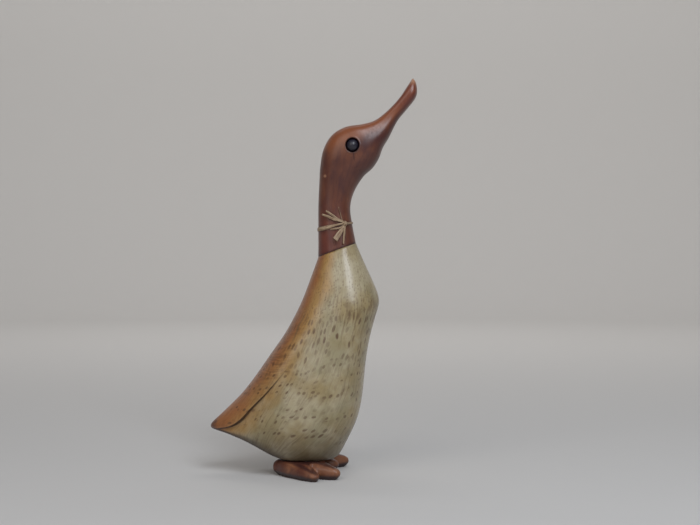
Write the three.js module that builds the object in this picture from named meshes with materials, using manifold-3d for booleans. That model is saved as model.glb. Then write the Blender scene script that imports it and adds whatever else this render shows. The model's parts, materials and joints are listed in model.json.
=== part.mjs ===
// A hand-carved wooden duck that stands upright with its bill raised. The body is pale bamboo root, the head
// and the feet are stained hardwood, the eyes are two glossy beads, and a strand of raffia is knotted round
// the neck. Millimetres. X points the way the duck faces, Y to its left and Z up. The origin is on the
// ground, under the middle of the duck from tail tip to bill tip.

import * as THREE from "three";
import { mergeVertices } from "three/addons/utils/BufferGeometryUtils.js";
import Module from "manifold-3d";

const wasm = await Module();
wasm.setup();

const GLUE_GAP = 0.3;
const FOOT_TOP = 11.6;
const BODY_BOTTOM = FOOT_TOP + GLUE_GAP;

// One station of the body. back, front: the side outline, [x, z]. ridge: half width of the rounded back and
// of the tail, reached at the share ridgeAt of the station. flank: half width of the belly, widest at the
// share flankAt. hollow: how deep the scoop under the tail's edge is.
const station = (back, front, ridge, ridgeAt, flank, flankAt, hollow = 0) => ({
  back,
  front,
  ridge,
  ridgeAt,
  flank,
  flankAt,
  hollow,
});

// Down the body, from the glued joint under the neck to the flat that rests on the feet.
const BODY_STATIONS = [
  station([3.0, 164.0], [31.9, 174.6], 13.5, 0.44, 13.6, 0.56),
  station([-2.5, 149.0], [38.5, 159.5], 18.3, 0.43, 18.6, 0.56),
  station([-9.0, 131.9], [45.6, 144.2], 22.4, 0.41, 23.2, 0.57),
  station([-15.5, 118.5], [49.8, 131.3], 24.0, 0.39, 26.0, 0.58),
  station([-22.8, 105.5], [46.5, 118.5], 25.4, 0.37, 28.2, 0.59),
  station([-33.0, 91.0], [42.2, 102.0], 26.0, 0.34, 30.6, 0.61),
  station([-43.5, 75.8], [39.3, 84.0], 25.6, 0.26, 32.8, 0.62, 0.8),
  station([-54.0, 62.0], [37.8, 67.5], 23.6, 0.21, 34.4, 0.63, 2.8),
  station([-64.5, 51.2], [35.8, 53.0], 21.4, 0.18, 35.0, 0.65, 5.0),
  station([-73.0, 43.2], [33.0, 42.0], 18.6, 0.178, 34.4, 0.66, 6.0),
  station([-78.4, 38.0], [29.5, 33.5], 14.0, 0.147, 32.6, 0.66, 5.0),
  station([-79.2, 35.2], [26.0, 26.5], 7.6, 0.06, 29.8, 0.66, 2.0),
  station([-77.8, 33.4], [22.5, 19.8], 4.6, 0.05, 26.0, 0.66, 0.6),
  station([-72.8, 32.2], [19.2, 14.4], 4.4, 0.06, 22.0, 0.66),
  station([-66.0, 31.2], [16.0, 11.9], 5.0, 0.1, 18.4, 0.66),
];
const BODY_RINGS = 36;
const BODY_COLUMNS = { back: 7, side: 6, front: 7 };
const BODY_CAP_SHARES = [0.7, 0.4];
const SCOOP_AT = 0.11; // share of the way from the tail's edge to the belly where the scoop is deepest
const TAIL_EDGE = 0.62; // 0.5 rounds the tail's edge over, and 1 cuts it straight
const TAIL_FROM = 0.36; // share of the way down the body where the back starts to turn into the tail
const TAIL_FULL = 0.58;
const UNDERSIDE_FROM = 0.6; // share of the way down where the stations start to follow the underside
const TAIL_RISE_FROM = -26; // behind this x the underside climbs to the tail
const TAIL_RISE_SLOPE = 0.62;
const TAIL_RISE_SAG = 0.0035; // how fast the climb eases off, per mm
const TAIL_RISE_BLEND = 7;

// One station of the head, across the neck or the bill. back, front: the side outline, [x, z]. half: the
// half width. round: 2 for an oval section, and more for a squarer one.
const headStation = (back, front, half, round = 2) => ({ back, front, half, round });

// Up the neck, over the head and along the bill: back runs up the nape, over the crown and along the top of
// the bill, and front up the throat, under the chin and along the bill's underside.
const HEAD_STATIONS = [
  headStation([3.0, 164.0], [31.9, 174.6], 13.6),
  headStation([3.0, 185.0], [29.2, 188.3], 12.5),
  headStation([3.0, 203.0], [27.5, 202.0], 11.9),
  headStation([3.7, 219.0], [30.5, 214.0], 12.7),
  headStation([4.4, 232.5], [37.6, 225.4], 14.6, 2.1),
  headStation([6.8, 246.0], [44.2, 231.2], 16.3, 2.3),
  headStation([13.3, 256.8], [49.3, 238.8], 16.8, 2.6),
  headStation([23.6, 262.8], [52.4, 247.4], 15.6, 2.8),
  headStation([35.0, 264.5], [56.9, 254.8], 12.8, 2.8),
  headStation([45.1, 267.2], [60.3, 262.0], 10.2, 2.6),
  headStation([52.5, 272.3], [63.9, 268.4], 8.8, 2.5),
  headStation([59.2, 278.5], [68.2, 273.7], 8.5, 2.5),
  headStation([65.3, 285.5], [73.2, 279.7], 9.0, 2.5),
  headStation([69.6, 292.0], [77.1, 285.0], 9.2, 2.4),
  headStation([72.6, 296.6], [78.3, 290.6], 7.6, 2.2),
  headStation([74.2, 299.2], [77.4, 296.2], 4.4),
];
const HEAD_RINGS = 48;
const HEAD_COLUMNS = { back: 6, side: 1, front: 6 };
const HEAD_SECTION = { ridgeAt: 0.44, flankAt: 0.56, hollow: 0 };
const BILL_TIP = [75.4, 300.0];

const EYE_CENTRE = [29.6, 13.2, 247.6]; // of the bead's sphere, on the duck's left
const EYE_RADIUS = 5.6;

// A foot points along its own X from the middle of its heel. Each toe is a bar from behind the heel to its
// tip, given from the outer toe of the right foot inwards, and top is its height at the tip.
const HEEL_BACK = 7.5;
const TOES = [
  { turn: -21, reach: 41.5, top: 7.6 },
  { turn: 0, reach: 49, top: 10.8 },
  { turn: 21, reach: 39, top: 10.2 },
];
const TOE_HALF_WIDTH = { heel: 7.5, tip: 6.2 };
const TOE_TOP_AT_HEEL = 15.0;
const TOE_BOTTOM = -2.8;
const TOE_SQUARENESS = 0.72; // 1 is an ellipsoid, and less is squarer
const WEB_REACH = 33;
const WEB_DIP = 25; // how far the web's edge reaches midway between two toes
const WEB_TOP = 11.3;
const FEET = {
  foot_right: { heel: [-23.3, -8.4], turn: -25, side: -1 },
  foot_left: { heel: [-20.5, 10.8], turn: 21, side: 1 },
};

const TIE_BACK = [3, 185.6]; // where the raffia crosses the nape and the throat, [x, z]
const TIE_FRONT = [29, 190.6];
const TIE_WIDTH = 3.0;
const TIE_THICKNESS = 1.1;
const KNOT = [24.0, -11.6, 189.6];
const KNOT_RADIUS = 2.3;
const TIE_END_THICKNESS = 0.9;
// The loose ends, each a smooth run of points away from the knot.
const TIE_ENDS = [
  { width: 2.1, points: [[15.6, -16.0, 192.0], [8.0, -16.4, 195.8]] },
  { width: 1.9, points: [[17.6, -15.6, 193.4], [10.4, -17.0, 198.3]] },
  { width: 3.4, points: [[20.2, -15.2, 183.6], [16.0, -17.0, 176.9]] },
  { width: 1.6, points: [[22.6, -14.6, 182.4], [21.8, -15.8, 173.2]] },
];

const material = (color, roughness, metalness = 0) =>
  new THREE.MeshStandardMaterial({ color, roughness, metalness });
const bambooRoot = material(0xb49a63, 0.4);
const stainedWood = material(0x6e3b2b, 0.35);
const blackBead = material(0x1b1a24, 0.12);
const raffia = material(0xb7a583, 0.75);

const { lerp, smoothstep, degToRad } = THREE.MathUtils;

// Every number of a station, smoothly between stations given at equal steps: 0 is the first and 1 the last.
function alongStations(stations) {
  const run = (pick) => {
    const points = stations.map((station, i) => new THREE.Vector2(i, pick(station)));
    const curve = new THREE.SplineCurve(points);
    return (t) => curve.getPoint(t).y;
  };
  const tracks = Object.keys(stations[0]).map((key) => {
    if (!Array.isArray(stations[0][key])) return [key, run((s) => s[key])];
    const x = run((s) => s[key][0]);
    const z = run((s) => s[key][1]);
    return [key, (t) => [x(t), z(t)]];
  });
  return (t) => Object.fromEntries(tracks.map(([key, at]) => [key, at(t)]));
}

// Half width of a section at a share s of its length: round the back, along the side, and round the front.
function halfWidth(s, { ridge, ridgeAt, flank, flankAt, hollow, round = 2, tail = 0 }) {
  const turn = (u) => Math.max(0, 1 - (1 - u) ** round) ** (1 / round);
  if (s <= ridgeAt) return ridge * lerp(turn(s / ridgeAt), (s / ridgeAt) ** TAIL_EDGE, tail);
  if (s < flankAt) {
    const along = (s - ridgeAt) / (flankAt - ridgeAt);
    const scoop = along / SCOOP_AT;
    const rise = lerp(smoothstep(along, 0, 1), 1 - (1 - along) ** 1.6, tail);
    return lerp(ridge, flank, rise) - hollow * scoop * Math.exp(1 - scoop);
  }
  return flank * turn((1 - s) / (1 - flankAt));
}

// The shares of a section's length where its columns of points lie, closer together round both ends and
// where the scoop is.
function columnShares({ ridgeAt, flankAt }, columns) {
  const shares = [];
  const quarter = Math.PI / 2;
  for (let i = 0; i < columns.back; i++) {
    shares.push(ridgeAt * (1 - Math.cos((quarter * i) / columns.back)));
  }
  for (let i = 0; i < columns.side; i++) {
    shares.push(lerp(ridgeAt, flankAt, (i / columns.side) ** 1.7));
  }
  for (let i = 0; i <= columns.front; i++) {
    shares.push(lerp(flankAt, 1, Math.sin((quarter * i) / columns.front)));
  }
  return shares;
}

// One ring of a section: out along the left side and home along the right. place puts a share and a half
// width in space, on the left.
function sectionRing(section, columns, place) {
  const left = columnShares(section, columns).map((s) => place(s, halfWidth(s, section)));
  const right = left.slice(1, -1).reverse();
  return [...left, ...right.map((p) => new THREE.Vector3(p.x, -p.y, p.z))];
}

// One closed skin over rings of equally many points, each end closed by a fan to its own middle point.
function skin(rings, firstMiddle, lastMiddle) {
  const count = rings[0].length;
  const points = [...rings.flat(), firstMiddle, lastMiddle];
  const first = points.length - 2;
  const last = points.length - 1;
  const index = [];
  for (let i = 0; i < count; i++) {
    const j = (i + 1) % count;
    for (let k = 0; k < rings.length - 1; k++) {
      const [a, b] = [k * count, (k + 1) * count];
      index.push(a + i, a + j, b + j, a + i, b + j, b + i);
    }
    const end = (rings.length - 1) * count;
    index.push(first, j, i, last, end + i, end + j);
  }
  const geometry = new THREE.BufferGeometry().setFromPoints(points);
  geometry.setIndex(index);
  return geometry;
}

function middleOf(ring) {
  const sum = new THREE.Vector3();
  ring.forEach((point) => sum.add(point));
  return sum.divideScalar(ring.length);
}

function toSolid(geometry) {
  const bare = geometry.clone();
  bare.deleteAttribute("normal");
  bare.deleteAttribute("uv");
  const merged = mergeVertices(bare, 1e-4);
  const vertProperties = merged.attributes.position.array;
  const triVerts = new Uint32Array(merged.index.array);
  return new wasm.Manifold(new wasm.Mesh({ numProp: 3, vertProperties, triVerts }));
}

function toGeometry(solid) {
  const mesh = solid.getMesh();
  const position = new Float32Array(mesh.numVert * 3);
  for (let i = 0; i < mesh.numVert; i++) {
    position.set(mesh.vertProperties.subarray(i * mesh.numProp, i * mesh.numProp + 3), i * 3);
  }
  const geometry = new THREE.BufferGeometry();
  geometry.setAttribute("position", new THREE.BufferAttribute(position, 3));
  geometry.setIndex(new THREE.BufferAttribute(new Uint32Array(mesh.triVerts), 1));
  return geometry;
}

// Height of the body's underside: flat where it rests on the feet, and climbing behind them to the tail.
function undersideHeight(x) {
  const behind = TAIL_RISE_FROM - x;
  const near = Math.max(TAIL_RISE_BLEND - Math.abs(behind), 0);
  const along = Math.max(behind, 0) + near ** 2 / (4 * TAIL_RISE_BLEND);
  return BODY_BOTTOM + along * (TAIL_RISE_SLOPE - along * TAIL_RISE_SAG);
}

// The body narrows from a full belly to the neck and runs out behind in a pointed tail with an edge on each
// side.
function bodyGeometry() {
  const stationAt = alongStations(BODY_STATIONS);
  const rings = [];
  const ringAt = (t, share) => {
    const station = stationAt(t);
    const { back, front } = station;
    const section = { ...station, tail: smoothstep(t, TAIL_FROM, TAIL_FULL) };
    const follow = smoothstep(t, UNDERSIDE_FROM, 1);
    const middle = new THREE.Vector3(lerp(back[0], front[0], 0.55), 0, 0);
    const levelAt = (x) => lerp(back[1], front[1], (x - back[0]) / (front[0] - back[0]));
    return sectionRing(section, BODY_COLUMNS, (s, half) => {
      const x = lerp(back[0], front[0], s);
      const above = [back, front].map((end) => end[1] - undersideHeight(end[0]));
      const z = lerp(levelAt(x), undersideHeight(x) + lerp(...above, s), follow);
      if (share === 1) return new THREE.Vector3(x, half, z);
      const inner = lerp(middle.x, x, share);
      return new THREE.Vector3(inner, half * share, t === 0 ? levelAt(inner) : undersideHeight(inner));
    });
  };
  const capIn = [...BODY_CAP_SHARES];
  const capOut = [...BODY_CAP_SHARES].reverse();
  capOut.forEach((share) => rings.push(ringAt(0, share)));
  for (let k = 0; k <= BODY_RINGS; k++) rings.push(ringAt(k / BODY_RINGS, 1));
  capIn.forEach((share) => rings.push(ringAt(1, share)));
  return skin(rings, middleOf(rings[0]), middleOf(rings.at(-1)));
}

// The head, with the neck below and the bill ahead. grow swells it all over, for cutting what lies against
// it.
function headGeometry(grow = 0) {
  const stationAt = alongStations(HEAD_STATIONS);
  const rings = [];
  const lift = grow ? 0 : GLUE_GAP;
  for (let k = 0; k <= HEAD_RINGS; k++) {
    const { back, front, half, round } = stationAt(k / HEAD_RINGS);
    const start = new THREE.Vector3(back[0], 0, back[1]);
    const end = new THREE.Vector3(front[0], 0, front[1]);
    const along = end.clone().sub(start).normalize();
    if (k === 0) {
      const up = new THREE.Vector3(-along.z, 0, along.x).multiplyScalar(lift);
      start.add(up);
      end.add(up);
    }
    start.addScaledVector(along, -grow);
    end.addScaledVector(along, grow);
    const section = { ...HEAD_SECTION, ridge: half + grow, flank: half + grow, round };
    rings.push(
      sectionRing(section, HEAD_COLUMNS, (s, wide) => start.clone().lerp(end, s).setY(wide)),
    );
  }
  const tip = new THREE.Vector3(BILL_TIP[0], 0, BILL_TIP[1]);
  return skin(rings.reverse(), tip, middleOf(rings.at(-1)));
}

// A glossy bead, cut on its inner side to lie against the head.
function eyeGeometry(side, head) {
  const bead = new THREE.SphereGeometry(EYE_RADIUS, 20, 12);
  bead.translate(EYE_CENTRE[0], EYE_CENTRE[1] * side, EYE_CENTRE[2]);
  const outside = toSolid(bead).subtract(head).decompose();
  outside.sort((a, b) => b.volume() - a.volume());
  return toGeometry(outside[0]);
}

// One toe as a bar with rounded corners along X, lower and narrower at its tip.
function toeGeometry({ reach, top: tipTop }) {
  const bar = new THREE.SphereGeometry(1, 16, 10);
  bar.rotateZ(Math.PI / 2);
  const position = bar.attributes.position;
  const square = (v) => Math.sign(v) * Math.abs(v) ** TOE_SQUARENESS;
  for (let i = 0; i < position.count; i++) {
    const along = (square(position.getX(i)) + 1) / 2;
    const half = lerp(TOE_HALF_WIDTH.heel, TOE_HALF_WIDTH.tip, along);
    const top = lerp(TOE_TOP_AT_HEEL, tipTop, along);
    position.setXYZ(
      i,
      lerp(-HEEL_BACK, reach, along),
      half * square(position.getY(i)),
      lerp(TOE_BOTTOM, top, (square(position.getZ(i)) + 1) / 2),
    );
  }
  return bar;
}

// The web that joins the toes, its front edge hollowed between them.
function webGeometry() {
  const at = (turn, reach) => [reach * Math.cos(degToRad(turn)), reach * Math.sin(degToRad(turn))];
  const outline = new THREE.Shape();
  outline.moveTo(0, 0);
  outline.lineTo(...at(TOES[0].turn, WEB_REACH));
  for (let i = 1; i < TOES.length; i++) {
    const between = (TOES[i - 1].turn + TOES[i].turn) / 2;
    outline.quadraticCurveTo(...at(between, WEB_DIP), ...at(TOES[i].turn, WEB_REACH));
  }
  outline.closePath();
  return new THREE.ExtrudeGeometry(outline, { depth: WEB_TOP, bevelEnabled: false, curveSegments: 5 });
}

// One webbed foot: three toes that part in front, flat underneath and flat on top where the body rests.
function footGeometry({ heel, turn, side }) {
  let solid = toSolid(webGeometry());
  TOES.forEach((toe) => {
    const bar = toeGeometry(toe).rotateZ(degToRad(toe.turn));
    solid = solid.add(toSolid(bar));
  });
  if (side > 0) solid = solid.mirror([0, 1, 0]);
  const slab = new THREE.BoxGeometry(200, 200, FOOT_TOP).translate(0, 0, FOOT_TOP / 2);
  const trimmed = toGeometry(solid.intersect(toSolid(slab)));
  trimmed.rotateZ(degToRad(turn));
  return trimmed.translate(heel[0], heel[1], 0);
}

// The raffia: a band round the neck, its knot at the front of the right side, and the loose ends.
function tieGeometry(neckClearance) {
  const [backX, backZ] = TIE_BACK;
  const [frontX, frontZ] = TIE_FRONT;
  const tilt = Math.atan2(frontZ - backZ, frontX - backX);
  const slab = new THREE.BoxGeometry(60, 60, TIE_WIDTH);
  slab.rotateY(-tilt);
  slab.translate((backX + frontX) / 2, 0, (backZ + frontZ) / 2);
  let solid = toSolid(headGeometry(GLUE_GAP + TIE_THICKNESS)).intersect(toSolid(slab));
  const knot = new THREE.Vector3(...KNOT);
  solid = solid.add(toSolid(new THREE.SphereGeometry(KNOT_RADIUS, 12, 8).translate(...KNOT)));
  TIE_ENDS.forEach(({ width, points }) => {
    const route = new THREE.CatmullRomCurve3([knot, ...points.map((p) => new THREE.Vector3(...p))]);
    const [w, h] = [width / 2, TIE_END_THICKNESS / 2];
    const strand = new THREE.Shape();
    strand.moveTo(-h, -w).lineTo(h, -w).lineTo(h, w).lineTo(-h, w).closePath();
    const end = new THREE.ExtrudeGeometry(strand, { steps: 6, extrudePath: route });
    solid = solid.add(toSolid(end));
  });
  return toGeometry(solid.subtract(neckClearance));
}

const duck = new THREE.Group();

function addPiece(name, geometry, finish) {
  const piece = new THREE.Mesh(geometry, finish);
  piece.name = name;
  duck.add(piece);
}

const clearOfHead = toSolid(headGeometry(GLUE_GAP));
addPiece("body", bodyGeometry(), bambooRoot);
addPiece("head", headGeometry(), stainedWood);
addPiece("eye_left", eyeGeometry(1, clearOfHead), blackBead);
addPiece("eye_right", eyeGeometry(-1, clearOfHead), blackBead);
Object.entries(FEET).forEach(([name, foot]) => addPiece(name, footGeometry(foot), stainedWood));
addPiece("raffia_tie", tieGeometry(clearOfHead), raffia);

export default duck;
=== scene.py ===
"""Looks of a hand-carved duck that stands upright with its bill raised.

The body is pale lacquered bamboo root, the head and the feet are stained hardwood, the eyes are two
beads, and a strand of raffia is knotted round the neck. Sizes are in metres. X points the way the duck
faces, Y to its left and Z up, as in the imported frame.
"""

import json
import math

import bpy
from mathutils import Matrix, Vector, noise
from mathutils.bvhtree import BVHTree

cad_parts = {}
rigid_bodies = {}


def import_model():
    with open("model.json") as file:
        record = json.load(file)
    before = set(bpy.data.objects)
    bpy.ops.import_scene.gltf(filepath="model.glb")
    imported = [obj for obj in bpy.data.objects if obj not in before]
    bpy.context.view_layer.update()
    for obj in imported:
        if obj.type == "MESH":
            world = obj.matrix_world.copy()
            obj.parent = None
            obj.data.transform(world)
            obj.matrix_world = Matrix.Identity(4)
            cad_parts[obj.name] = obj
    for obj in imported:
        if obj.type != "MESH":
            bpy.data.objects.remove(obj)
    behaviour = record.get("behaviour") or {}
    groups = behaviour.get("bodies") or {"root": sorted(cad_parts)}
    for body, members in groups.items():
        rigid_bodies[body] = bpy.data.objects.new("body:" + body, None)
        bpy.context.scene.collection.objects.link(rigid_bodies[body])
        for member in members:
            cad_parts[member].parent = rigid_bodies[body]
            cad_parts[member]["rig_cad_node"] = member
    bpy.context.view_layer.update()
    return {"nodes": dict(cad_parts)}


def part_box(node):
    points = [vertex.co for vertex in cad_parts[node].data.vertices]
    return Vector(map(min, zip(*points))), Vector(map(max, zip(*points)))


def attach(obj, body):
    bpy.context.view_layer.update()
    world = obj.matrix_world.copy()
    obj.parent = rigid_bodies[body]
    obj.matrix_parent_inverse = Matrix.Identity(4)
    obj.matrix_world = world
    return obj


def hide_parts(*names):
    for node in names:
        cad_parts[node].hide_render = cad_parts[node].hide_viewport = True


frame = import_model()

MM = 0.001

bl_info = {
    "name": "Carved Duck",
    "version": (1, 0, 0),
    "blender": (4, 5, 0),
    "location": "View3D > Sidebar > Duck",
    "description": "Carves and finishes a standing duck of bamboo root and hardwood",
    "category": "Object",
}


def shade(red, green, blue):
    """A colour as seen on screen, from 0 to 255, as the linear values that Blender works in."""
    def linear(value):
        value /= 255
        return value / 12.92 if value <= 0.04045 else ((value + 0.055) / 1.055) ** 2.4
    return linear(red), linear(green), linear(blue)


def length(name, description, default):
    return bpy.props.FloatProperty(
        name=name, description=description, default=default, min=0, precision=5, unit="LENGTH"
    )


def watts(name, description, default):
    return bpy.props.FloatProperty(name=name, description=description, default=default, min=0)


def share(name, description, default):
    return bpy.props.FloatProperty(
        name=name, description=description, default=default, min=0, max=1, subtype="FACTOR"
    )


def colour(name, description, default):
    return bpy.props.FloatVectorProperty(
        name=name, description=description, default=default, size=3, min=0, max=1, subtype="COLOR"
    )


class DuckCarving(bpy.types.PropertyGroup):
    """Sizes of what is carved or fitted."""

    glue_line: length("Glue line", "Width of the line left between glued pieces", 0.06 * MM)
    tail_edge: share("Tail edge", "How crisp the edge of the tail is", 0.5)
    bead_radius: length("Bead radius", "Radius of an eye bead", 4.5 * MM)
    socket_width: length("Socket width", "Half the width of the hole that a bead sits in", 5.0 * MM)
    socket_height: length("Socket height", "Half the height of the hole that a bead sits in", 5.35 * MM)
    socket_depth: length("Socket depth", "Depth of the hole that a bead sits in", 3.2 * MM)
    foot_detail: length("Foot detail", "Size of the cuts that a foot is carved with", 0.6 * MM)
    foot_undercut: length("Foot undercut", "How far a foot draws in at the floor", 2.4 * MM)
    foot_shoulder: length("Foot shoulder", "How far a foot is rounded off at its top edge", 1.5 * MM)


class DuckRaffia(bpy.types.PropertyGroup):
    """Sizes of the raffia."""

    thickness: length("Thickness", "Thickness of one strand", 0.5 * MM)
    fold: length("Fold", "How far the middle of a strand stands above its edges", 0.25 * MM)
    knot: length("Knot", "Radius of the knot", 1.7 * MM)


class DuckColours(bpy.types.PropertyGroup):
    """Colours of the finishes."""

    root_pale: colour("Root, pale", "The root's palest wood", shade(178, 166, 136))
    root_straw: colour("Root, straw", "The root's common colour", shade(158, 140, 100))
    root_olive: colour("Root, olive", "A greenish cast under the lacquer", shade(140, 132, 98))
    root_honey: colour("Root, honey", "Where the lacquer is thicker, towards the back", shade(170, 128, 66))
    root_amber: colour("Root, amber", "The lacquered back and tail", shade(156, 92, 48))
    root_shade: colour("Root, streaks", "Long darker streaks", shade(110, 88, 58))
    root_mark: colour("Root, marks", "Scars of the rootlets, and dark fibres", shade(86, 54, 30))
    root_end: colour("Root, end grain", "The tip of the tail", shade(84, 48, 38))
    # Painted shade, for what faces down and for the lowest part of the body near the feet.
    root_painted_shade: colour("Root, grime", "Smoke and dust on what faces down", shade(44, 30, 30))
    # Partly painted light: the stain's orange, lighter on the faces of the head turned up to the lamp.
    wood_orange: colour("Wood, orange", "The crown and the top of the bill", shade(142, 80, 44))
    wood_tan: colour("Wood, tan", "The lightest hardwood", shade(122, 72, 48))
    wood_brown: colour("Wood, brown", "The common hardwood", shade(98, 54, 38))
    wood_red: colour("Wood, red", "The back of the neck and the end of the bill", shade(104, 46, 40))
    # Also painted shade on the head, below the crown and the bill and before the eyes.
    wood_plum_and_shade: colour("Wood, plum", "The deepest stain", shade(62, 30, 34))
    # Also painted shade: in the eye sockets, under the raffia loop and along the bottom of the feet.
    wood_dark_and_shade: colour("Wood, dark", "Glue and dirt round what is let into the wood", shade(24, 10, 18))
    # Also painted light along the sides of the feet towards the toes.
    foot_tan: colour("Foot, tan", "Where a foot is worn", shade(146, 96, 66))
    bill_nail: colour("Bill tip", "Bare wood at the tip of the bill", shade(176, 130, 100))
    bead: colour("Bead", "The eye beads", shade(20, 16, 30))
    bead_bloom: colour("Bead bloom", "A haze on the beads", shade(44, 42, 62))
    raffia_pale: colour("Raffia, pale", "Raffia where it is bleached", shade(196, 174, 144))
    raffia_brown: colour("Raffia, brown", "Raffia in its folds", shade(120, 90, 66))


class DuckStage(bpy.types.PropertyGroup):
    """The floor, the lamps and the camera."""

    floor: colour("Floor", "The plain floor", shade(214, 212, 209))
    key: watts("Key lamp", "Watts of the tall window that lights the duck's front", 8)
    front: watts("Front lamp", "Watts of the wide lamp beside the camera", 4)
    wall: watts("Wall lamp", "Watts of the lamp that lights the wall behind", 26)
    lens: bpy.props.FloatProperty(
        name="Lens", description="Millimetres on a 36 mm frame", default=57.4, min=10
    )
    distance: length("Distance", "From the camera to the duck", 0.85)
    height: length("Height", "Camera above the floor", 0.162)


def only(piece):
    """Makes piece the one selected and active object."""
    if bpy.context.object and bpy.context.object.mode != "OBJECT":
        bpy.ops.object.mode_set(mode="OBJECT")
    bpy.ops.object.select_all(action="DESELECT")
    piece.select_set(True)
    bpy.context.view_layer.objects.active = piece


def edit(piece, select="SELECT"):
    only(piece)
    bpy.ops.object.mode_set(mode="EDIT")
    bpy.ops.mesh.select_all(action=select)


def done():
    bpy.ops.object.mode_set(mode="OBJECT")


def finish_modifier(piece, kind, **settings):
    """Adds a modifier and applies it."""
    only(piece)
    bpy.ops.object.modifier_add(type=kind)
    modifier = piece.modifiers[-1]
    for key, value in settings.items():
        setattr(modifier, key, value)
    bpy.ops.object.modifier_apply(modifier=modifier.name)


def subdivide(piece, levels):
    finish_modifier(piece, "SUBSURF", levels=levels, render_levels=levels, boundary_smooth="PRESERVE_CORNERS")


def copy_of(node, name):
    """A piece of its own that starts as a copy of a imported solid, its faces joined up and paired."""
    only(frame["nodes"][node])
    bpy.ops.object.duplicate()
    piece = bpy.context.object
    bpy.ops.object.parent_clear(type="CLEAR_KEEP_TRANSFORM")
    piece.name = piece.data.name = name
    del piece["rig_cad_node"]
    piece.data.materials.clear()
    edit(piece)
    bpy.ops.mesh.remove_doubles(threshold=0.01 * MM)
    bpy.ops.mesh.tris_convert_to_quads(face_threshold=math.pi, shape_threshold=math.pi)
    done()
    return piece


def move_points(piece, rule):
    """Moves each point of a mesh by what rule gives for it."""
    for vertex in piece.data.vertices:
        vertex.co += rule(vertex.co)
    piece.data.update()


def select_faces(piece, rule):
    """Goes into edit mode with those faces selected whose middle fits the rule."""
    edit(piece, "DESELECT")
    bpy.ops.mesh.select_mode(type="FACE")
    done()
    for face in piece.data.polygons:
        face.select = rule(face.center)
    bpy.ops.object.mode_set(mode="EDIT")


def crease_edges(piece, rule, crease):
    """Creases those edges whose two ends fit the rule, so that subdividing keeps them."""
    edit(piece, "DESELECT")
    bpy.ops.mesh.select_mode(type="EDGE")
    done()
    points = piece.data.vertices
    for edge in piece.data.edges:
        edge.select = all(rule(points[k].co) for k in edge.vertices)
    bpy.ops.object.mode_set(mode="EDIT")
    bpy.ops.transform.edge_crease(value=crease)
    done()


def surface_of(piece):
    """What rays are cast at to find the surface of a piece."""
    mesh = piece.data
    return BVHTree.FromPolygons([v.co for v in mesh.vertices], [tuple(f.vertices) for f in mesh.polygons])


def curve_through(stops, steps):
    """Stops, given as rows of numbers, with steps from each to the next on one smooth curve."""
    def value(before, start, end, after, t):
        return 0.5 * (
            2 * start + (end - before) * t + (2 * before - 5 * start + 4 * end - after) * t * t
            + (3 * start - before - 3 * end + after) * t ** 3
        )
    rows = [stops[0], *stops, stops[-1]]
    made = []
    for k in range(1, len(rows) - 2):
        for step in range(steps):
            made.append([value(*four, step / steps) for four in zip(*rows[k - 1:k + 3])])
    return made + [list(stops[-1])]


def smooth_between(low, high, value):
    t = min(max((value - low) / (high - low), 0), 1)
    return t * t * (3 - 2 * t)


def fit(piece, finish, slot, *nodes):
    """Gives a piece its finish, and puts it on the duck in the place of the solids it stands for."""
    only(piece)
    bpy.ops.object.transform_apply(location=True, rotation=True, scale=True)
    piece.data.materials.clear()
    piece.data.materials.append(finish)
    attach(piece, "root")
    if nodes:
        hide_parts(*nodes)


class Term:
    """A socket in a material, so that sums and products of it are written as in maths."""

    def __init__(self, paint, socket):
        self.paint = paint
        self.socket = socket

    def maths(self, operation, *values):
        return self.paint.node("ShaderNodeMath", {"operation": operation}, dict(enumerate(values)))

    def __add__(self, other):
        return self.maths("ADD", self, other)

    def __radd__(self, other):
        return self.maths("ADD", other, self)

    def __sub__(self, other):
        return self.maths("SUBTRACT", self, other)

    def __rsub__(self, other):
        return self.maths("SUBTRACT", other, self)

    def __mul__(self, other):
        return self.maths("MULTIPLY", self, other)

    def __rmul__(self, other):
        return self.maths("MULTIPLY", other, self)

    def __truediv__(self, other):
        return self.maths("DIVIDE", self, other)

    def most(self, other):
        return self.maths("MAXIMUM", self, other)

    def root(self):
        return self.maths("SQRT", self)

    def sine(self):
        return self.maths("SINE", self)

    def size(self):
        return self.maths("ABSOLUTE", self)


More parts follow.
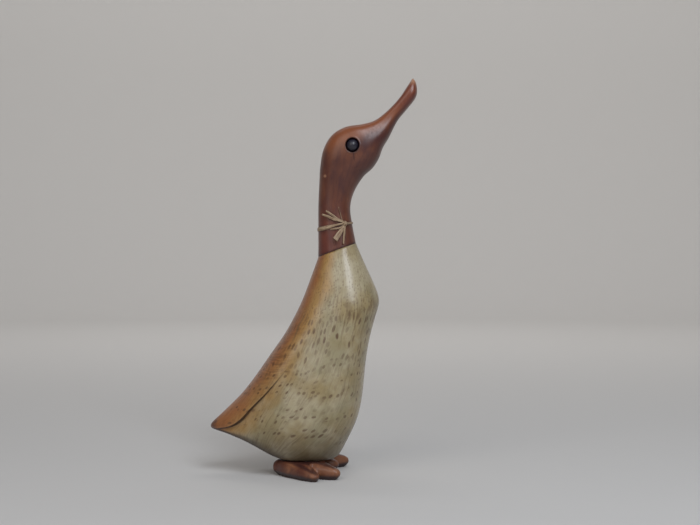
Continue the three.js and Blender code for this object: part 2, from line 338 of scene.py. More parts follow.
class Paint:
    """One material and the nodes that are built for it."""

    def __init__(self, name):
        self.material = bpy.data.materials.new(name)
        self.material.use_nodes = True
        self.tree = self.material.node_tree
        self.tree.nodes.clear()

    def node(self, kind, settings=None, inputs=None, output=0):
        made = self.tree.nodes.new(kind)
        for key, value in (settings or {}).items():
            if key == "stops":
                self.set_stops(made.color_ramp, value)
            else:
                setattr(made, key, value)
        for key, value in (inputs or {}).items():
            if isinstance(value, Term):
                self.tree.links.new(value.socket, made.inputs[key])
            else:
                made.inputs[key].default_value = value
        if isinstance(output, (list, tuple)):
            return [Term(self, made.outputs[o]) for o in output]
        return Term(self, made.outputs[output]) if made.outputs else None

    @staticmethod
    def set_stops(ramp, stops):
        while len(ramp.elements) < len(stops):
            ramp.elements.new(1)
        for element, (position, tone) in zip(ramp.elements, stops):
            element.position = position
            element.color = (*tone, 1)

    def place(self):
        """Where a point is on the duck."""
        return self.node("ShaderNodeTexCoord", output="Object")

    def facing(self):
        """Which way the surface faces: forward, to the left and up."""
        return self.parts(self.node("ShaderNodeTexCoord", output="Normal"))

    def parts(self, vector):
        return self.node("ShaderNodeSeparateXYZ", {}, {0: vector}, (0, 1, 2))

    def join(self, x, y, z):
        return self.node("ShaderNodeCombineXYZ", {}, {0: x, 1: y, 2: z})

    def stretch(self, vector, x, y, z):
        return self.node("ShaderNodeVectorMath", {"operation": "MULTIPLY"}, {0: vector, 1: (x, y, z)})

    def shift(self, vector, other):
        return self.node("ShaderNodeVectorMath", {"operation": "ADD"}, {0: vector, 1: other})

    def noise(self, vector, scale, detail=2.0, roughness=0.5, distortion=0.0, output=0):
        values = {"Vector": vector, "Scale": scale, "Detail": detail}
        values.update({"Roughness": roughness, "Distortion": distortion})
        return self.node("ShaderNodeTexNoise", {}, values, output)

    def cells(self, vector, scale, randomness=1.0):
        """Distance to the nearest of a scatter of points, and a random value for each."""
        values = {"Vector": vector, "Scale": scale, "Randomness": randomness}
        distance, tone = self.node("ShaderNodeTexVoronoi", {}, values, ("Distance", "Color"))
        return distance, self.parts(tone)[0]

    def step(self, value, low, high, start=0.0, end=1.0):
        """Eases from start to end as value goes from low to high."""
        values = {"Value": value, "From Min": low, "From Max": high, "To Min": start, "To Max": end}
        return self.node("ShaderNodeMapRange", {"interpolation_type": "SMOOTHSTEP"}, values)

    def bell(self, value, middle, reach):
        """1 where value is at middle, easing to 0 at reach from it."""
        return self.step((value - middle).size(), 0.0, reach, 1.0, 0.0)

    def mix(self, factor, first, second, blend="MIX"):
        """One colour over another."""
        values = {0: factor}
        for key, tone in ((6, first), (7, second)):
            values[key] = tone if isinstance(tone, Term) else (*tone, 1)
        return self.node("ShaderNodeMix", {"data_type": "RGBA", "blend_type": blend}, values, 2)

    def bump(self, height, distance, strength=1.0):
        return self.node("ShaderNodeBump", {}, {"Height": height, "Distance": distance, "Strength": strength})

    def coat(self, **sockets):
        """Ends the material in one shader and returns it."""
        names = {key.replace("_", " ").title().replace("Ior", "IOR"): value for key, value in sockets.items()}
        shader = self.node("ShaderNodeBsdfPrincipled", {}, names)
        self.node("ShaderNodeOutputMaterial", {}, {0: shader})
        return self.material


# The root's fibres follow the body, so its marks are laid out in a frame that runs with them. At each
# height, ROOT_MIDDLE and ROOT_DEPTH give the middle and the half depth of the body, each as the three
# terms of a curve, and a level of the fibres tips by LEVEL_TIP.
ROOT_MIDDLE = (-0.0475, 0.887, -2.95)
ROOT_DEPTH = (0.0585, -0.11, -0.88)
ROOT_WIDTH_SHARE = 0.72
LEVEL_TIP = 3.4
LEVEL_HEIGHT = 0.045
ROOT_RADIUS = 30.0  # the fibre frame is in millimetres, on a round root of this radius


def curve_of(height, terms):
    a, b, c = terms
    return height * b + height * height * c + a


def root_frame(paint):
    """Millimetres along and round the root. across goes from -1 on the back to 1 on the breast."""
    x, y, z = paint.parts(paint.place())
    tip = (z - LEVEL_HEIGHT) * LEVEL_TIP
    level = z - tip * (x - curve_of(z, ROOT_MIDDLE))
    across = (x - curve_of(level, ROOT_MIDDLE)) / curve_of(level, ROOT_DEPTH)
    side = y / (curve_of(level, ROOT_DEPTH) * ROOT_WIDTH_SHARE)
    turn = paint.node("ShaderNodeMath", {"operation": "ARCTAN2"}, {0: side, 1: across})
    return turn * ROOT_RADIUS, level * 1000, across


def scars(paint, arc, level, wide, tall, size, share, seed):
    """Marks scattered over the root, in a share of the cells, which are wide by tall millimetres."""
    spot = paint.join(arc / wide + seed, level / tall + seed, 0.0)
    values = {"Vector": spot, "Scale": 1.0, "Randomness": 0.75}
    settings = {"voronoi_dimensions": "2D"}
    distance, tone = paint.node("ShaderNodeTexVoronoi", settings, values, ("Distance", "Color"))
    red, green, blue = paint.parts(tone)
    here = paint.step(red, 1.0 - share, 1.0 - share * 0.6)
    return paint.step(distance, size, size * 0.45) * here * (green * 0.6 + 0.4)


def root_finish():
    """Lacquered bamboo root: straw wood, warmer behind, with dark fibres and the scars of cut rootlets."""
    tones = bpy.context.scene.duck_colours
    paint = Paint("bamboo_root")
    place = paint.place()
    arc, level, across = root_frame(paint)
    x, y, z = paint.parts(place)
    drift_x, drift_y, drift_z = paint.parts(paint.noise(place, 60.0, 2.0, 0.5, output=1))
    arc = arc + (drift_x - 0.5) * 4.0
    level = level + (drift_y - 0.5) * 6.0

    cloud = paint.noise(place, 38.0, 3.0, 0.55)
    wood = paint.mix(paint.step(cloud, 0.38, 0.64), tones.root_straw[:], tones.root_pale[:])
    green = paint.noise(paint.shift(place, (3.0, 1.0, 2.0)), 55.0, 2.0)
    wood = paint.mix(paint.step(green, 0.45, 0.7) * 0.5, wood, tones.root_olive[:])
    edge = across + (cloud - 0.5) * 0.5
    upper = paint.step(level, 105.0, 150.0)
    honey = paint.step(edge - upper * 0.35, -0.28, -0.75)
    wood = paint.mix(honey * 0.85, wood, tones.root_honey[:])
    back = paint.step(edge - upper * 0.1, -0.6, -0.95)
    wood = paint.mix(back * 0.85, wood, tones.root_amber[:])

    fine = paint.noise(paint.join(arc * 1.1, level * 0.055, 0.0), 1.0, 2.0, 0.6)
    lines = paint.step(fine, 0.5, 0.72)
    streak_zone = paint.bell(level, 116.0, 24.0) + 0.28
    streaks = paint.step(paint.noise(paint.join(arc * 0.42, level * 0.045, 4.0), 1.0, 2.0, 0.55), 0.5, 0.66)
    wood = paint.mix(lines * 0.3, wood, tones.root_mark[:])
    wood = paint.mix(streaks * streak_zone * 0.5, wood, tones.root_shade[:])

    lean = arc + (level - 60.0) * 0.06
    dash_zone = paint.bell(level, 104.0, 34.0) * 0.9 + 0.25
    dashes = scars(paint, lean, level, 2.6, 7.5, 0.42, 0.75, 3.7) * dash_zone
    rows = paint.step(paint.noise(paint.join(arc * 0.02, level * 0.19, 9.0), 1.0, 0.0), 0.42, 0.58)
    dot_zone = paint.step(level, 98.0, 84.0) * paint.step(level, 16.0, 34.0) * (rows * 0.75 + 0.25)
    dots = scars(paint, arc, level, 3.3, 4.6, 0.36, 0.8, 11.3) * dot_zone
    speck_zone = paint.step(level, 98.0, 130.0) * 0.6 + 0.25
    specks = scars(paint, arc, level, 1.7, 2.4, 0.4, 0.6, 23.1) * speck_zone
    marks = dashes.most(dots).most(specks * 0.7)
    wood = paint.mix(marks * 0.8, wood, tones.root_mark[:])

    wave = paint.noise(paint.join(arc * 0.06, level * 0.4, 2.0), 1.0, 2.0, 0.6, 1.2)
    figure = paint.step(wave, 0.44, 0.6) * paint.step(across, -0.5, -0.8) * paint.bell(level, 95.0, 48.0)
    wood = paint.mix(figure * 0.45, wood, tones.root_mark[:])

    # Painted shade: the body darkens towards the feet, and behind, where it faces down.
    shade_near_feet = paint.step(z + (cloud - 0.5) * 0.02, 0.046, 0.008)
    shade_facing_down = paint.step(paint.facing()[2], -0.15, -0.75) * paint.step(x, 0.0, -0.03)
    painted_shade = (shade_near_feet * 0.62).most(shade_facing_down * 0.88)
    end_grain = paint.step(x, -0.0715, -0.0775)
    wood = paint.mix(end_grain * 0.75, wood, tones.root_end[:])
    # The painted shade is laid over the wood.
    wood = paint.mix(painted_shade, wood, tones.root_painted_shade[:])

    relief = lines * -0.35 - marks + paint.noise(place, 900.0, 2.0) * 0.3 - streaks * 0.3
    return paint.coat(
        base_color=wood,
        roughness=0.4 + marks * 0.2 + painted_shade * 0.2,
        normal=paint.bump(relief, 0.00016, 0.75),
        coat_weight=0.75 - painted_shade * 0.5,
        coat_roughness=0.26,
        specular_ior_level=0.35,
    )


def hardwood(paint, light, brown, plum):
    """Stained hardwood: rings of growth, a blotchy stain, and short dark pores along the grain."""
    place = paint.place()
    cloud = paint.noise(place, 48.0, 3.0, 0.55, 0.4)
    stain = paint.noise(paint.stretch(place, 1.0, 1.0, 0.45), 95.0, 3.0, 0.6)
    wood = paint.mix(paint.step(cloud, 0.36, 0.64), brown, light)
    wood = paint.mix(paint.step(stain, 0.48, 0.74) * 0.55, wood, plum)
    x, y, z = paint.parts(place)
    bend = paint.noise(place, 22.0, 2.0)
    core = ((y - 0.03) * (y - 0.03) + (x - 0.09) * (x - 0.09) * 0.6).root()
    rings = paint.step((core * 2100.0 + bend * 26.0 + z * 60.0).sine(), 0.35, 0.95)
    wood = paint.mix(rings * 0.22, wood, plum)
    grain = paint.noise(paint.stretch(place, 1.0, 1.0, 0.14), 950.0, 2.0, 0.6)
    pores = paint.step(grain, 0.56, 0.76)
    wood = paint.mix(pores * 0.45, wood, plum)
    return wood, pores, stain, rings


EYE_AT = (0.0296, 0.2477)  # how far forward and how high the eyes are
TIE_AT = (0.0156, 0.1878)  # the middle of the neck where the raffia goes round it


def head_finish():
    """Stained hardwood: orange over the crown and the bill from stain and painted light, plum painted shade
    below them and before the eyes, bare at the tip of the bill.
    """
    tones = bpy.context.scene.duck_colours
    paint = Paint("stained_wood")
    wood, pores, stain, rings = hardwood(paint, tones.wood_tan[:], tones.wood_brown[:], tones.wood_plum_and_shade[:])
    x, y, z = paint.parts(paint.place())
    up = paint.facing()[2]
    ahead = (x - EYE_AT[0]) * 1000.0
    above = (z - EYE_AT[1]) * 1000.0

    # Orange over the crown and the top of the bill: the stain, lighter there as painted light on the faces
    # turned up to the lamp.
    crown = paint.step(above - ahead * 0.55 + (stain - 0.5) * 10.0, -2.0, 8.0) * paint.step(above, -8.0, 4.0)
    wood = paint.mix(crown * 0.75, wood, tones.wood_orange[:])
    # Painted shade in plum: on what faces down below the head, and in the hollow before each eye under the
    # brow.
    under = paint.step(up, 0.1, -0.45) * paint.step(z, 0.20, 0.23) * 0.6
    lores = paint.bell(above - ahead * 0.25 + (stain - 0.5) * 6.0, 0.0, 9.0)
    lores = lores * paint.step(ahead, 3.0, 10.0) * 0.6
    shaded = under.most(lores * paint.step(ahead, 40.0, 22.0))
    red = paint.step(z, 0.215, 0.178) * paint.step(x, 0.026, 0.008)
    wood = paint.mix(red * 0.6, wood, tones.wood_red[:])
    # The painted shade is laid over the wood.
    wood = paint.mix(shaded, wood, tones.wood_plum_and_shade[:])

    bill = paint.step(z, 0.268, 0.283)
    wood = paint.mix(bill * 0.5, wood, tones.wood_red[:])
    nail = paint.step(z + (stain - 0.5) * 0.004, 0.2925, 0.2975)
    wood = paint.mix(nail * 0.9, wood, tones.bill_nail[:])

    # A dark ring round each eye: glue, and painted shade in the socket round the bead.
    away = (ahead * ahead + above * above * 0.86).root()
    rim = paint.bell(away, 4.7, 1.5)
    crack = paint.bell(ahead + above * 0.12, 0.1, 0.75)
    crack = crack * paint.step(above, -4.5, -6.0) * paint.step(above, -13.0, -9.5)
    chip_x, chip_z = (x - 0.0088) * 1000.0, (z - 0.2251) * 1000.0
    chip = paint.step(chip_x * chip_x + chip_z * chip_z, 2.2, 0.4) * paint.step(y, 0.0, -0.004)
    # Painted shadow of the raffia loop on the neck, just below it.
    tie_shadow = paint.bell(z - (x - TIE_AT[0]) * 0.19, TIE_AT[1] - 0.0015, 0.0045)
    dark = (rim * 0.95).most(crack * 0.7).most(tie_shadow * 0.4)
    wood = paint.mix(dark, wood, tones.wood_dark_and_shade[:])
    wood = paint.mix(chip * 0.6, wood, tones.bill_nail[:])
    seam = paint.step(z - x * 0.3665, 0.1652, 0.1636)
    wood = paint.mix(seam * 0.5, wood, tones.wood_dark_and_shade[:])

    return paint.coat(
        base_color=wood,
        roughness=0.42 + pores * 0.15 - crown * 0.04,
        normal=paint.bump(pores * -1.0 + stain * 0.4 - rings * 0.25, 0.00013, 0.6),
        coat_weight=0.5 - shaded * 0.3,
        coat_roughness=0.3,
        specular_ior_level=0.35,
    )


def foot_finish():
    """Stained hardwood, lighter along the sides and on the toes from wear and painted light, painted shade
    near the floor, glossy on top.
    """
    tones = bpy.context.scene.duck_colours
    paint = Paint("stained_foot")
    wood, pores, stain, rings = hardwood(paint, tones.foot_tan[:], tones.wood_brown[:], tones.wood_plum_and_shade[:])
    x, y, z = paint.parts(paint.place())
    up = paint.facing()[2]
    # A lighter tan band along the sides towards the toes: wear, and painted light where the side faces the
    # lamp.
    toes = paint.step(x + (stain - 0.5) * 0.02, 0.0, 0.02)
    band = paint.bell(z + (stain - 0.5) * 0.003, 0.0072, 0.0055)
    wood = paint.mix(toes * band * 0.8, wood, tones.foot_tan[:])
    # Painted shade: the foot darkens where its side rounds under to the floor.
    low = paint.step(z + (stain - 0.5) * 0.003, 0.0048, 0.0018)
    wood = paint.mix(low * 0.85, wood, tones.wood_dark_and_shade[:])
    top = paint.step(up, 0.75, 0.97)
    wood = paint.mix(top * 0.8, wood, tones.wood_plum_and_shade[:])
    return paint.coat(
        base_color=wood,
        roughness=0.46 + pores * 0.14 - top * 0.16,
        normal=paint.bump(pores * -1.0 + stain * 0.6 - rings * 0.3, 0.0002, 0.8),
        coat_weight=0.35 + top * 0.5,
        coat_roughness=0.22,
        specular_ior_level=0.35,
    )


def bead_finish():
    """Dark glass with a bloom on it."""
    tones = bpy.context.scene.duck_colours
    paint = Paint("bead")
    bloom = paint.noise(paint.place(), 700.0, 2.0)
    tone = paint.mix(paint.step(bloom, 0.35, 0.7) * 0.35, tones.bead[:], tones.bead_bloom[:])
    return paint.coat(
        base_color=tone,
        roughness=0.36 + bloom * 0.12,
        coat_weight=0.15,
        coat_roughness=0.1,
        specular_ior_level=0.6,
    )


def raffia_finish():
    """Dry raffia: long pale fibres, brown between them."""
    tones = bpy.context.scene.duck_colours
    paint = Paint("raffia")
    lay = paint.node("ShaderNodeTexCoord", output="UV")
    fibres = paint.noise(paint.stretch(lay, 2.2, 30.0, 1.0), 1.0, 3.0, 0.65)
    cloud = paint.noise(paint.place(), 300.0, 2.0)
    tone = paint.mix(paint.step(fibres, 0.36, 0.66), tones.raffia_brown[:], tones.raffia_pale[:])
    tone = paint.mix(paint.step(cloud, 0.45, 0.75) * 0.4, tone, tones.raffia_brown[:])
    return paint.coat(
        base_color=tone,
        roughness=0.62 - fibres * 0.2,
        normal=paint.bump(fibres, 0.00025, 0.9),
        specular_ior_level=0.35,
    )


def floor_finish():
    tones = bpy.context.scene.duck_stage
    paint = Paint("floor")
    tooth = paint.noise(paint.place(), 40.0, 3.0)
    tone = paint.mix(tooth * 0.15, tones.floor[:], [0.96 * c for c in tones.floor])
    return paint.coat(base_color=tone, roughness=0.85, specular_ior_level=0.2)


class DUCK_OT_stage(bpy.types.Operator):
    """Sets the camera, the floor and the lamps"""

    bl_idname = "duck.stage"
    bl_label = "Stage"

    AZIMUTH = math.radians(4)
    TURN = math.radians(-1.835)
    DIP = math.radians(-0.13)

    def execute(self, context):
        stage = context.scene.duck_stage
        ahead = Vector((-math.sin(self.AZIMUTH), math.cos(self.AZIMUTH), 0))
        spot = Vector((0, 0, stage.height)) - ahead * stage.distance
        bpy.ops.object.camera_add(
            location=spot, rotation=(math.radians(90) + self.DIP, 0, self.AZIMUTH + self.TURN)
        )
        camera = context.object
        camera.data.sensor_width = 36
        camera.data.lens = stage.lens
        camera.data.dof.use_dof = False
        context.scene.camera = camera

        bpy.ops.mesh.primitive_circle_add(vertices=96, radius=2.2, fill_type="NGON")
        cove = context.object
        cove.name = "floor"
        self.raise_rim(cove)
        cove.data.materials.append(floor_finish())

        self.lamp("key", (0.42, -0.80, 0.90), (0.02, -0.01, 0.17), 0.45, 0.8, stage.key, (0.88, 0.93, 1.0))
        self.lamp("front", (-0.55, -1.0, 0.75), (0, 0, 0.16), 0.9, 0.9, stage.front, (1.0, 0.95, 0.9))
        self.lamp("wall", (0, 0.9, 1.9), (0, 2.8, 0.5), 2.4, 0.6, stage.wall, (1.0, 0.98, 0.96))
        world = bpy.data.worlds.new("studio")
        context.scene.world = world
        world.use_nodes = True
        backdrop = world.node_tree.nodes["Background"]
        backdrop.inputs["Color"].default_value = (0.86, 0.9, 1.0, 1)
        backdrop.inputs["Strength"].default_value = 0.16
        context.scene.view_settings.view_transform = "Standard"
        return {"FINISHED"}

    @staticmethod
    def raise_rim(cove, rise=0.8, steps=10, wall=1.4):
        """Turns up the rim of a floor in a quarter round, with a wall above it."""
        edit(cove, "DESELECT")
        bpy.ops.mesh.select_mode(type="EDGE")
        bpy.ops.mesh.select_all(action="SELECT")
        bpy.ops.mesh.region_to_loop()
        radius, height = 2.2, 0.0
        stops = [
            (2.2 + rise * math.sin(math.pi / 2 * k / steps), rise * (1 - math.cos(math.pi / 2 * k / steps)))
            for k in range(1, steps + 1)
        ]
        for wide, high in stops + [(2.2 + rise, rise + wall)]:
            bpy.ops.mesh.extrude_region_move(TRANSFORM_OT_translate={"value": (0, 0, high - height)})
            bpy.ops.transform.resize(value=(wide / radius, wide / radius, 1), center_override=(0, 0, high))
            radius, height = wide, high
        bpy.ops.mesh.select_all(action="SELECT")
        bpy.ops.mesh.normals_make_consistent(inside=True)
        done()
        bpy.ops.object.shade_smooth_by_angle(angle=math.radians(30))

    @staticmethod
    def lamp(name, spot, target, wide, high, watts, tone):
        facing = (Vector(target) - Vector(spot)).to_track_quat("-Z", "Y").to_euler()
        bpy.ops.object.light_add(type="AREA", location=spot, rotation=facing)
        lamp = bpy.context.object
        lamp.name = name
        lamp.data.shape = "RECTANGLE"
        lamp.data.size = wide
        lamp.data.size_y = high
        lamp.data.energy = watts
        lamp.data.color = tone


class DUCK_OT_body(bpy.types.Operator):
    """Carves the bamboo root body"""

    bl_idname = "duck.body"
    bl_label = "Body"

    def execute(self, context):
        carving = context.scene.duck_carving
        body = copy_of("body", "root_body")
        edit(body, "DESELECT")
        bpy.ops.mesh.select_mode(type="EDGE")
        bpy.ops.mesh.edges_select_sharp(sharpness=math.radians(28))
        bpy.ops.transform.edge_crease(value=carving.tail_edge)
        done()
        low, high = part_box("body")
        crease_edges(body, lambda p: joint_height(p) > -0.6 * MM or p.z < low.z + 0.4 * MM, 1.0)
        subdivide(body, 2)
        move_points(body, self.hand_cut)
        bpy.ops.object.shade_smooth()
        fit(body, root_finish(), "bamboo_root", "body")
        return {"FINISHED"}

    @staticmethod
    def hand_cut(point):
        """The knife leaves the surface slightly uneven, except at the joints."""
        room = smooth_between(0, 6 * MM, -joint_height(point)) * smooth_between(12 * MM, 20 * MM, point.z)
        if abs(point.y) < 33 * MM and point.x > -75 * MM:
            wave = noise.noise(point * 70) * 0.28 + noise.noise(point * 190) * 0.1
            return Vector((0, math.copysign(1, point.y), 0)) * (wave - 0.12) * MM * room
        return Vector()


def joint_height(point):
    """How far a point is above the glued joint between body and head."""
    return (point - Vector((31.9, 0, 174.6)) * MM).dot(JOINT_FACING)


JOINT_FACING = Vector((-10.6, 0, 28.9)).normalized()


class DUCK_OT_head(bpy.types.Operator):
    """Carves the head, with its neck and bill, and drills it for the eyes"""

    bl_idname = "duck.head"
    bl_label = "Head"

    def execute(self, context):
        carving = context.scene.duck_carving
        head = copy_of("head", "carved_head")
        crease_edges(head, lambda p: joint_height(p) < 0.8 * MM, 1.0)
        subdivide(head, 2)
        gap = 0.3 * MM - carving.glue_line
        move_points(head, lambda p: -JOINT_FACING * gap if joint_height(p) < 0.5 * MM else Vector())
        for side in (-1, 1):
            self.drill(head, side, carving)
        only(head)
        bpy.ops.object.shade_smooth_by_angle(angle=math.radians(50))
        fit(head, head_finish(), "stained_wood", "head")
        return {"FINISHED"}

    @staticmethod
    def drill(head, side, carving):
        """Sinks the hole for one eye, with a soft rim."""
        forward, high = EYE_AT
        reach = 8 * MM

        def near(p):
            return p.y * side > 0 and math.hypot(p.x - forward, p.z - high) < reach

        for cuts in (1, 1):
            select_faces(head, near)
            bpy.ops.mesh.subdivide(number_cuts=cuts, smoothness=0.6)
            done()
            reach -= 1.2 * MM

        def sink(p):
            if not near(p):
                return Vector()
            away = math.hypot((p.x - forward) / carving.socket_width, (p.z - high) / carving.socket_height)
            floor = 1 - smooth_between(0.84, 1.06, away)
            lip = 0.12 * math.exp(-((away - 1.16) / 0.09) ** 2)
            return Vector((0, side * (lip * MM - floor * carving.socket_depth), 0))

        reach = 8 * MM
        move_points(head, sink)


class DUCK_OT_eyes(bpy.types.Operator):
    """Turns the two bead eyes"""

    bl_idname = "duck.eyes"
    bl_label = "Eyes"

    def execute(self, context):
        carving = context.scene.duck_carving
        finish = bead_finish()
        for node in ("eye_left", "eye_right"):
            low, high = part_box(node)
            side = 1 if high.y > 0 else -1
            out = high.y if side > 0 else low.y
            bpy.ops.object.select_all(action="DESELECT")
            bpy.ops.mesh.primitive_uv_sphere_add(
                segments=48, ring_count=32, radius=carving.bead_radius, rotation=(math.radians(90), 0, 0),
                location=(EYE_AT[0], out - side * carving.bead_radius, EYE_AT[1]),
            )
            bead = context.object
            bead.name = "bead_" + node.split("_")[1]
            bpy.ops.object.shade_smooth()
            fit(bead, finish, "bead", node)
        return {"FINISHED"}


class DUCK_OT_feet(bpy.types.Operator):
    """Carves the two webbed feet"""

    bl_idname = "duck.feet"
    bl_label = "Feet"

    def execute(self, context):
        carving = context.scene.duck_carving
        finish = foot_finish()
        for node in ("foot_left", "foot_right"):
            foot = copy_of(node, "carved_" + node)
            low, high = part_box(node)
            top = high.z
            finish_modifier(foot, "REMESH", mode="VOXEL", voxel_size=carving.foot_detail)
            self.draw_in(foot, top, carving)
            finish_modifier(
                foot, "REMESH", mode="VOXEL", voxel_size=carving.foot_detail, use_smooth_shade=True
            )
            finish_modifier(foot, "SMOOTH", factor=0.5, iterations=5)
            for vertex in foot.data.vertices:
                vertex.co.z = min(max(vertex.co.z, 0), top)
            fit(foot, finish, "stained_wood", node)
        return {"FINISHED"}

    @staticmethod
    def draw_in(foot, top, carving):
        """Rounds the foot under at the floor, and off at its upper edge."""
        moves = []
        for vertex in foot.data.vertices:
            flat = Vector((vertex.normal.x, vertex.normal.y, 0))
            under = max(0, 1 - vertex.co.z / (4.5 * MM)) ** 1.6 * carving.foot_undercut
            over = max(0, (vertex.co.z - top + 4 * MM) / (4 * MM)) ** 1.8 * carving.foot_shoulder
            moves.append(flat * -(under + over))
        for vertex, move in zip(foot.data.vertices, moves):
            vertex.co += move
        foot.data.update()


class DUCK_OT_raffia(bpy.types.Operator):
    """Ties the raffia round the neck"""

    bl_idname = "duck.raffia"
    bl_label = "Raffia"

    # The loop: degrees round the neck from the back by the right side, height, how far it stands off,
    # and width.
    LOOP = (
        (0, 185.0, 0.3, 3.2), (30, 185.3, 0.3, 3.2), (54, 185.8, 0.3, 3.1), (73, 186.7, 0.4, 2.8),
        (90, 187.7, 0.6, 2.1), (101, 188.3, 0.8, 1.7), (114, 188.9, 1.0, 1.4), (126, 189.3, 0.9, 1.4),
        (142, 189.5, 0.5, 1.5), (166, 190.0, 0.35, 1.6), (200, 190.2, 0.3, 2.0), (240, 189.4, 0.3, 2.6),
        (280, 187.4, 0.3, 3.0), (320, 185.7, 0.3, 3.2), (360, 185.0, 0.3, 3.2),
    )
    # What lies on the right side of the neck, from the knot out: forward, height, how far it stands off,
    # and width.
    KNOT = (23.2, 189.2)
    ENDS = {
        "under_loop": ((22.8, 188.0, 0.5, 1.2), (20.3, 186.2, 0.6, 1.5), (18.0, 185.6, 0.5, 1.5),
                       (15.3, 185.2, 0.4, 1.4), (13.0, 184.9, 0.1, 1.0)),
        "low_tip": ((23.0, 190.0, 0.9, 1.6), (19.4, 191.4, 1.1, 1.8), (17.0, 192.0, 1.3, 2.0),
                    (14.9, 192.8, 1.6, 2.0), (11.9, 194.4, 2.2, 1.9), (8.4, 196.1, 3.0, 1.5)),
        "up_tip": ((23.0, 190.4, 0.6, 1.4), (19.4, 192.1, 0.8, 1.6), (17.4, 193.3, 0.9, 1.7),
                   (15.6, 194.7, 1.1, 1.8), (13.1, 196.6, 1.6, 1.7), (10.4, 198.9, 2.4, 1.2)),
        "wide_end": ((23.0, 188.0, 0.8, 1.8), (22.0, 186.2, 1.0, 2.6), (21.0, 184.2, 1.2, 3.1),
                     (18.9, 180.6, 1.9, 3.8), (16.7, 176.9, 3.2, 4.2)),
        "thin_end": ((23.4, 188.0, 0.9, 1.5), (23.2, 184.4, 0.9, 1.7), (23.0, 181.0, 0.9, 1.6),
                     (22.7, 177.4, 1.2, 1.5), (22.4, 173.8, 1.8, 1.2)),
        "hair": ((21.8, 191.2, 0.5, 0.5), (20.7, 195.0, 0.6, 0.5), (19.7, 198.4, 0.8, 0.45),
                 (18.8, 201.9, 1.2, 0.3)),
    }

    def execute(self, context):
        raffia = context.scene.duck_raffia
        self.neck = surface_of(bpy.data.objects["carved_head"])
        strands = [self.strand("loop", self.round_neck(), raffia)]
        for name, stops in self.ENDS.items():
            strands.append(self.strand(name, self.on_side(stops), raffia))
        strands += self.knot(raffia)
        bpy.ops.object.select_all(action="DESELECT")
        for strand in strands:
            strand.select_set(True)
        context.view_layer.objects.active = strands[0]
        bpy.ops.object.join()
        tie = context.object
        tie.name = tie.data.name = "raffia_strands"
        bpy.ops.object.shade_smooth()
        fit(tie, raffia_finish(), "raffia", "raffia_tie")
        return {"FINISHED"}

    def round_neck(self):
        """Where the loop goes, with the way it faces and its width."""
        route = []
        for degrees, height, lift, width in curve_through(self.LOOP, 8):
            turn = math.radians(degrees)
            out = Vector((-math.cos(turn), -math.sin(turn), 0))
            spot = Vector((TIE_AT[0], 0, height * MM))
            point, facing, _, _ = self.neck.ray_cast(spot + out * 0.06, -out)
            route.append((point + facing * lift * MM, facing, width * MM))
        return route

    def on_side(self, stops):
        route = []
        for forward, height, lift, width in curve_through(stops, 7):
            beside = Vector((forward * MM, -0.06, height * MM))
            point, facing, _, _ = self.neck.ray_cast(beside, Vector((0, 1, 0)))
            route.append((point + facing * lift * MM, facing, width * MM))
        return route

    def knot(self, raffia):
        """Turns of raffia pulled tight over each other."""
        point, facing, _, _ = self.neck.ray_cast(
            Vector((self.KNOT[0] * MM, -0.06, self.KNOT[1] * MM)), Vector((0, 1, 0))
        )
        up = (Vector((0, 0, 1)) - facing * facing.z).normalized()
        along = up.cross(facing)
        turns = []
        for name, lean, size, width, shift in (
            ("first_turn", 8, 1.0, 2.6, 0.0),
            ("second_turn", 62, 0.86, 1.9, 0.35),
            ("third_turn", -48, 0.74, 1.6, -0.4),
        ):
            across = up * math.cos(math.radians(lean)) + along * math.sin(math.radians(lean))
            radius = raffia.knot * size
            route = []
            for step in range(15):
                angle = math.radians(-25 + 230 * step / 14)
                out = across * math.cos(angle) + facing * math.sin(angle)
                middle = point + facing * 0.7 * MM + along * shift * MM
                route.append((middle + out * radius, out, width * MM))
            turns.append(self.strand(name, route, raffia))
        bpy.ops.object.select_all(action="DESELECT")
        bpy.ops.mesh.primitive_uv_sphere_add(
            segments=16, ring_count=10, radius=raffia.knot * 0.8, location=point + facing * 0.7 * MM
        )
        turns.append(bpy.context.object)
        return turns

    @staticmethod
    def strand(name, route, raffia, around=10):
        """One flat strand, folded slightly along its middle, with its ends pinched shut."""
        bpy.ops.object.select_all(action="DESELECT")
        bpy.ops.mesh.primitive_grid_add(x_subdivisions=len(route) - 1, y_subdivisions=around, size=1)
        piece = bpy.context.object
        piece.name = name
        last = len(route) - 1
        for vertex in piece.data.vertices:
            at = round((vertex.co.x + 0.5) * last)
            turn = (vertex.co.y + 0.5) * math.tau
            point, facing, width = route[at]
            ahead = (route[min(at + 1, last)][0] - route[max(at - 1, 0)][0]).normalized()
            side = ahead.cross(facing).normalized()
            facing = side.cross(ahead)
            across = math.cos(turn)
            depth = 0 if at in (0, last) else math.sin(turn) * raffia.thickness / 2
            fray = 1 + 0.1 * noise.noise(point * 900)
            folded = depth + raffia.fold * (1 - abs(across) ** 1.5)
            vertex.co = point + side * across * width / 2 * fray + facing * folded
        edit(piece)
        bpy.ops.mesh.remove_doubles(threshold=0.002 * MM)
        bpy.ops.mesh.normals_make_consistent(inside=False)
        done()
        return piece


class DUCK_PT_panel(bpy.types.Panel):
    """The duck's pieces, in the order in which they are made"""

    bl_label = "Carved Duck"
    bl_idname = "DUCK_PT_panel"
    bl_space_type = "VIEW_3D"
    bl_region_type = "UI"
    bl_category = "Duck"

    def draw(self, context):
        for operator in OPERATORS:
            self.layout.operator(operator.bl_idname)
        for group in GROUPS:
            box = self.layout.box()
            settings = getattr(context.scene, GROUPS[group])
            for key in group.__annotations__:
                box.prop(settings, key)


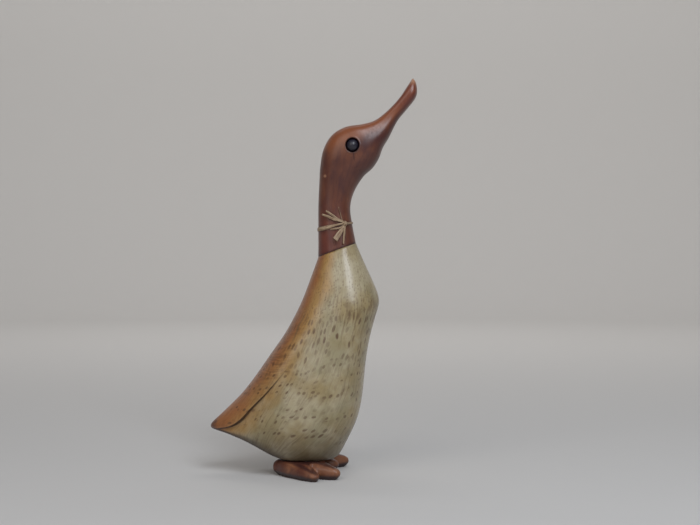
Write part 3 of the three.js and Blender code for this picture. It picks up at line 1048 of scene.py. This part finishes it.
GROUPS = {
    DuckCarving: "duck_carving",
    DuckRaffia: "duck_raffia",
    DuckColours: "duck_colours",
    DuckStage: "duck_stage",
}
OPERATORS = (DUCK_OT_stage, DUCK_OT_body, DUCK_OT_head, DUCK_OT_eyes, DUCK_OT_feet, DUCK_OT_raffia)


def register():
    for part in (*GROUPS, *OPERATORS, DUCK_PT_panel):
        bpy.utils.register_class(part)
    for group, name in GROUPS.items():
        setattr(bpy.types.Scene, name, bpy.props.PointerProperty(type=group))


def unregister():
    for name in GROUPS.values():
        delattr(bpy.types.Scene, name)
    for part in reversed((*GROUPS, *OPERATORS, DUCK_PT_panel)):
        bpy.utils.unregister_class(part)


def main():
    register()
    bpy.ops.duck.stage()
    bpy.ops.duck.body()
    bpy.ops.duck.head()
    bpy.ops.duck.eyes()
    bpy.ops.duck.feet()
    bpy.ops.duck.raffia()


if __name__ == "__main__":
    main()
